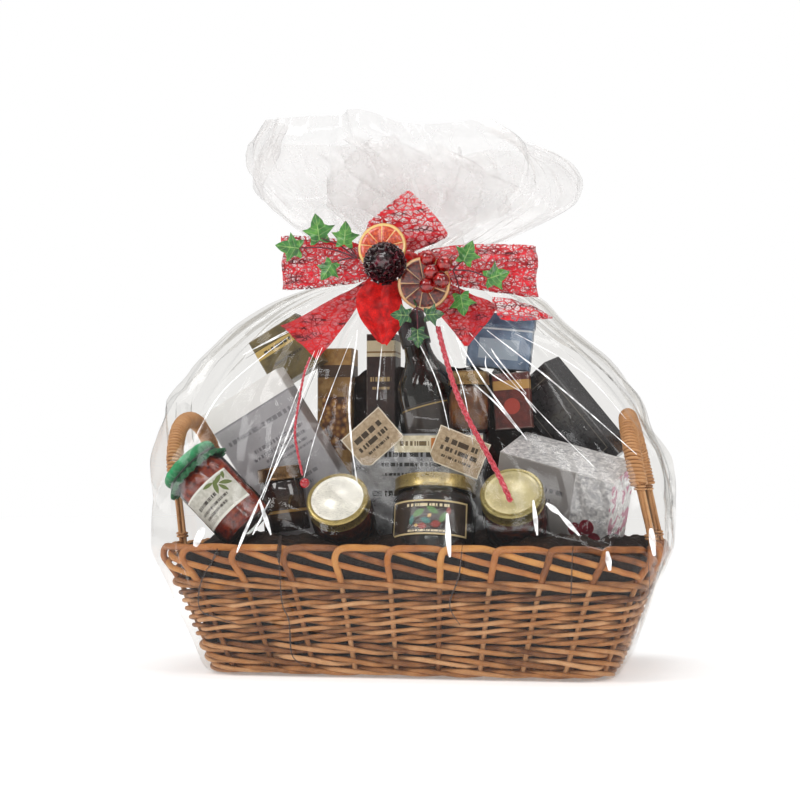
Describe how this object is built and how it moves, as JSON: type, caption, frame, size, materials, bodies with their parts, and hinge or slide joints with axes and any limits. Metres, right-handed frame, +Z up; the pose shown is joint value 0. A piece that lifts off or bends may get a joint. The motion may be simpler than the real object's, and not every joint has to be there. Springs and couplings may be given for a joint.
{
  "type": "gift hamper",
  "caption": "Willow gift hamper of jars, packs and a bottle in clear film, tied at the neck with a red ribbon bow.",
  "frame": {"origin": "middle of the hamper's bounding box, on the flat face it rests on", "axes": "+Z up, -Y towards the front with the bow, X along the basket"},
  "size_m": [0.551, 0.356, 0.5999],
  "materials": {
    "willow": "satin",
    "willow_light": "satin",
    "film": "clear gloss",
    "tissue": "crumpled",
    "card_white": "coated",
    "card_grey": "coated, mottled print",
    "card_black": "coated",
    "card_olive": "coated",
    "card_golden": "coated",
    "card_dark": "coated",
    "card_red": "coated",
    "foil": "creased foil",
    "tin": "printed",
    "kraft": "matt",
    "label": "printed",
    "jar_glass": "clear gloss",
    "jam": "preserve",
    "chutney": "preserve",
    "relish": "preserve",
    "honey": "preserve",
    "lid_gold": "lacquered tinplate",
    "lid_dark": "gloss",
    "dark_jar": "gloss",
    "cloth": "woven",
    "bottle_glass": "dark glass that can't be seen into",
    "capsule": "satin",
    "ribbon": "open red mesh",
    "ribbon_end": "satin",
    "orange_flesh": "dried fruit",
    "orange_dark": "dried fruit",
    "cone": "lacquered",
    "berry": "gloss",
    "leaf": "artificial leaf",
    "leaf_dark": "artificial leaf"
  },
  "bodies": {
    "root": {"basket_walls": "willow", "foot_border": "willow", "rim_border": "willow_light", "handle_left": "willow_light", "handle_right": "willow_light", "carton_left": "card_white", "carton_right": "card_grey", "box_black": "card_black", "pack_silver": "foil", "pack_dark": "card_dark", "pack_golden": "card_golden", "carton_olive": "card_olive", "tin_blue": "tin", "pack_red": "card_red", "jar_green_glass": "jar_glass", "jar_green_filling": "jam", "cap_green_cloth": "cloth", "label_green_jar": "label", "jar_dark": "dark_jar", "jar_dark_lid": "lid_dark", "jar_front_left_glass": "jar_glass", "jar_front_left_filling": "chutney", "jar_front_left_lid": "lid_gold", "jar_front_right_glass": "jar_glass", "jar_front_right_filling": "chutney", "jar_front_right_lid": "lid_gold", "jar_centre_glass": "jar_glass", "jar_centre_filling": "relish", "jar_centre_lid": "lid_gold", "label_centre_jar": "label", "jar_amber_glass": "jar_glass", "jar_amber_filling": "honey", "jar_amber_lid": "lid_gold", "bottle": "bottle_glass", "bottle_capsule": "capsule", "band_cream": "label", "tag_left": "kraft", "tag_right": "kraft", "packing_tissue": "tissue", "film_wrap": "film", "film_plume": "film", "bow_knot": "ribbon", "neck_tie": "ribbon", "bow_loop_left": "ribbon", "bow_loop_right": "ribbon", "bow_peak": "ribbon", "bow_tail_left": "ribbon", "bow_fold": "ribbon", "bow_tail_right": "ribbon", "bow_tail_far_right": "ribbon", "orange_slice_left": "orange_flesh", "orange_slice_right": "orange_dark", "pine_cone": "cone", "berries": "berry", "ivy_left": "leaf", "ivy_right": "leaf", "ivy_low": "leaf_dark", "streamer_left": "ribbon_end", "streamer_right": "ribbon_end", "streamer_bead": "berry"}
  },
  "joints": []
}
